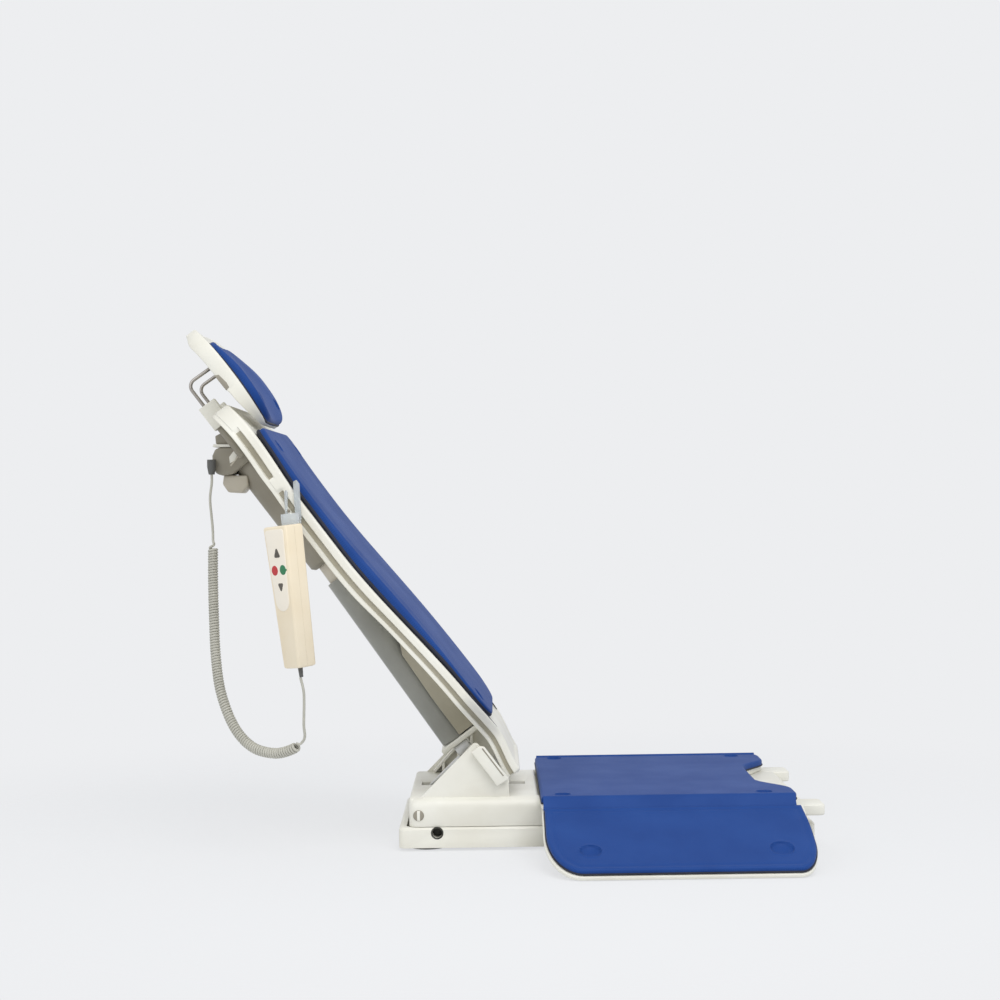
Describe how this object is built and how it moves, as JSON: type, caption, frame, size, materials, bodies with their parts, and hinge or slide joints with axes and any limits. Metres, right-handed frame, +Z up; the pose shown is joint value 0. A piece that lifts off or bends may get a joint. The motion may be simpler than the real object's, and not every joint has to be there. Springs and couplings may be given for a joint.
{
  "type": "bath lift chair",
  "caption": "Reclining bath lift chair: folding scissor lift on a suction base, padded seat with side flaps, reclining backrest with drive, sliding headrest and corded handset.",
  "frame": {"origin": "on the bath floor, in the middle of the footprint, cord left out", "axes": "+X the way the sitter faces, +Y to the sitter's left, +Z up"},
  "size_m": [0.8688, 0.6838, 0.7128],
  "materials": {
    "white_plastic": "satin",
    "blue_cover": "soft matt",
    "grey_tube": "satin",
    "motor_grey": "satin",
    "steel": "brushed",
    "chrome": "polished",
    "grey_rubber": "matt",
    "nylon": "matt",
    "cream_plastic": "satin",
    "clear_plastic": "clear",
    "cord_grey": "matt",
    "black_button": "matt",
    "red_button": "satin",
    "green_button": "satin"
  },
  "bodies": {
    "base": {"base_tray": "white_plastic", "suction_cup_rear_left": "grey_rubber", "suction_cup_rear_right": "grey_rubber", "suction_cup_front_left": "grey_rubber", "suction_cup_front_right": "grey_rubber", "base_pivot_shaft": "steel"},
    "scissor_outer": {"outer_arm_left": "steel", "outer_arm_right": "steel", "centre_shaft": "steel", "upper_cross_shaft": "steel", "upper_roller_left": "nylon", "upper_roller_right": "nylon"},
    "scissor_inner": {"inner_arm_left": "steel", "inner_arm_right": "steel", "lower_cross_shaft": "steel", "lower_roller_left": "nylon", "lower_roller_right": "nylon", "seat_pivot_shaft": "steel", "lift_crank": "steel"},
    "seat": {"seat_carriage": "white_plastic", "seat_plate": "white_plastic", "seat_cover": "blue_cover", "front_lug_left": "white_plastic", "front_lug_right": "white_plastic", "bracket_left": "white_plastic", "bracket_right": "white_plastic", "back_hinge_pin": "steel"},
    "flap_left": {"flap_panel_left": "white_plastic", "flap_cover_left": "blue_cover"},
    "flap_right": {"flap_panel_right": "white_plastic", "flap_cover_right": "blue_cover"},
    "backrest": {"backrest_shell": "white_plastic", "backrest_cover": "blue_cover", "drive_tube": "grey_tube", "tube_flange": "white_plastic", "tube_clamp": "white_plastic", "motor_housing": "motor_grey", "gear_head": "motor_grey", "gear_cap": "white_plastic", "connector_box": "nylon", "cord_gland": "grey_rubber", "headrest_socket_left": "white_plastic", "headrest_socket_right": "white_plastic", "cord_lead_upper": "cord_grey", "cord_coil": "cord_grey"},
    "drive_rod": {"push_rod": "steel", "rod_fork": "steel"},
    "headrest": {"headrest_shell": "white_plastic", "headrest_cover": "blue_cover", "headrest_rod_left": "chrome", "headrest_rod_right": "chrome"},
    "handset": {"handset_front_shell": "cream_plastic", "handset_rear_shell": "cream_plastic", "handset_hook": "clear_plastic", "handset_strain_relief": "grey_rubber", "cord_lead_lower": "cord_grey"},
    "button_up": {"button_up": "black_button"},
    "button_down": {"button_down": "black_button"},
    "button_red": {"button_red": "red_button"},
    "button_green": {"button_green": "green_button"}
  },
  "joints": [
    {"name": "lift", "type": "hinge", "parent": "base", "child": "scissor_outer", "pos_m": [-0.08357, 0, 0.0242], "axis": [0, -1, 0], "range_deg": [0, 57]},
    {"name": "scissor_cross", "type": "hinge", "parent": "scissor_outer", "child": "scissor_inner", "pos_m": [0.14365, 0, 0.03534], "axis": [0, -1, 0], "range_deg": [-114.5, 0]},
    {"name": "seat_level", "type": "hinge", "parent": "scissor_inner", "child": "seat", "pos_m": [-0.10855, 0, 0.0477], "axis": [0, -1, 0], "range_deg": [0, 57.5]},
    {"name": "flap_left_fold", "type": "hinge", "parent": "seat", "child": "flap_left", "pos_m": [0.22594, 0.1865, 0.0664], "axis": [1, 0, 0], "range_deg": [0, 105]},
    {"name": "flap_right_fold", "type": "hinge", "parent": "seat", "child": "flap_right", "pos_m": [0.22594, -0.1865, 0.0664], "axis": [-1, 0, 0], "range_deg": [0, 105]},
    {"name": "recline", "type": "hinge", "parent": "seat", "child": "backrest", "pos_m": [-0.00057, 0, 0.1003], "axis": [0, 1, 0], "range_deg": [0, 30]},
    {"name": "drive", "type": "slide", "parent": "backrest", "child": "drive_rod", "axis": [0.5678, 0, -0.8231], "range_m": [0, 0.08347]},
    {"name": "headrest_slide", "type": "slide", "parent": "backrest", "child": "headrest", "axis": [-0.599, 0, 0.8007], "range_m": [0, 0.06]},
    {"name": "handset_swing", "type": "hinge", "parent": "backrest", "child": "handset", "pos_m": [-0.26514, 0, 0.49934], "axis": [0, 1, 0], "range_deg": [-30.5, 0]},
    {"name": "button_up_press", "type": "slide", "parent": "handset", "child": "button_up", "axis": [0.715, 0.6947, 0.0789], "range_m": [0, 0.0015], "stiffness_N_per_m": 400, "springref_m": -0.0015},
    {"name": "button_down_press", "type": "slide", "parent": "handset", "child": "button_down", "axis": [0.715, 0.6947, 0.0789], "range_m": [0, 0.0015], "stiffness_N_per_m": 400, "springref_m": -0.0015},
    {"name": "button_red_press", "type": "slide", "parent": "handset", "child": "button_red", "axis": [0.715, 0.6947, 0.0789], "range_m": [0, 0.0015], "stiffness_N_per_m": 400, "springref_m": -0.0015},
    {"name": "button_green_press", "type": "slide", "parent": "handset", "child": "button_green", "axis": [0.715, 0.6947, 0.0789], "range_m": [0, 0.0015], "stiffness_N_per_m": 400, "springref_m": -0.0015}
  ],
  "couplings": [
    {"joint": "scissor_cross", "follows": "lift", "ratio": -2},
    {"joint": "seat_level", "follows": "lift", "ratio": 1},
    {"joint": "drive", "follows": "lift", "m_per_rad": 0.0834},
    {"joint": "handset_swing", "follows": "recline", "ratio": -1}
  ]
}
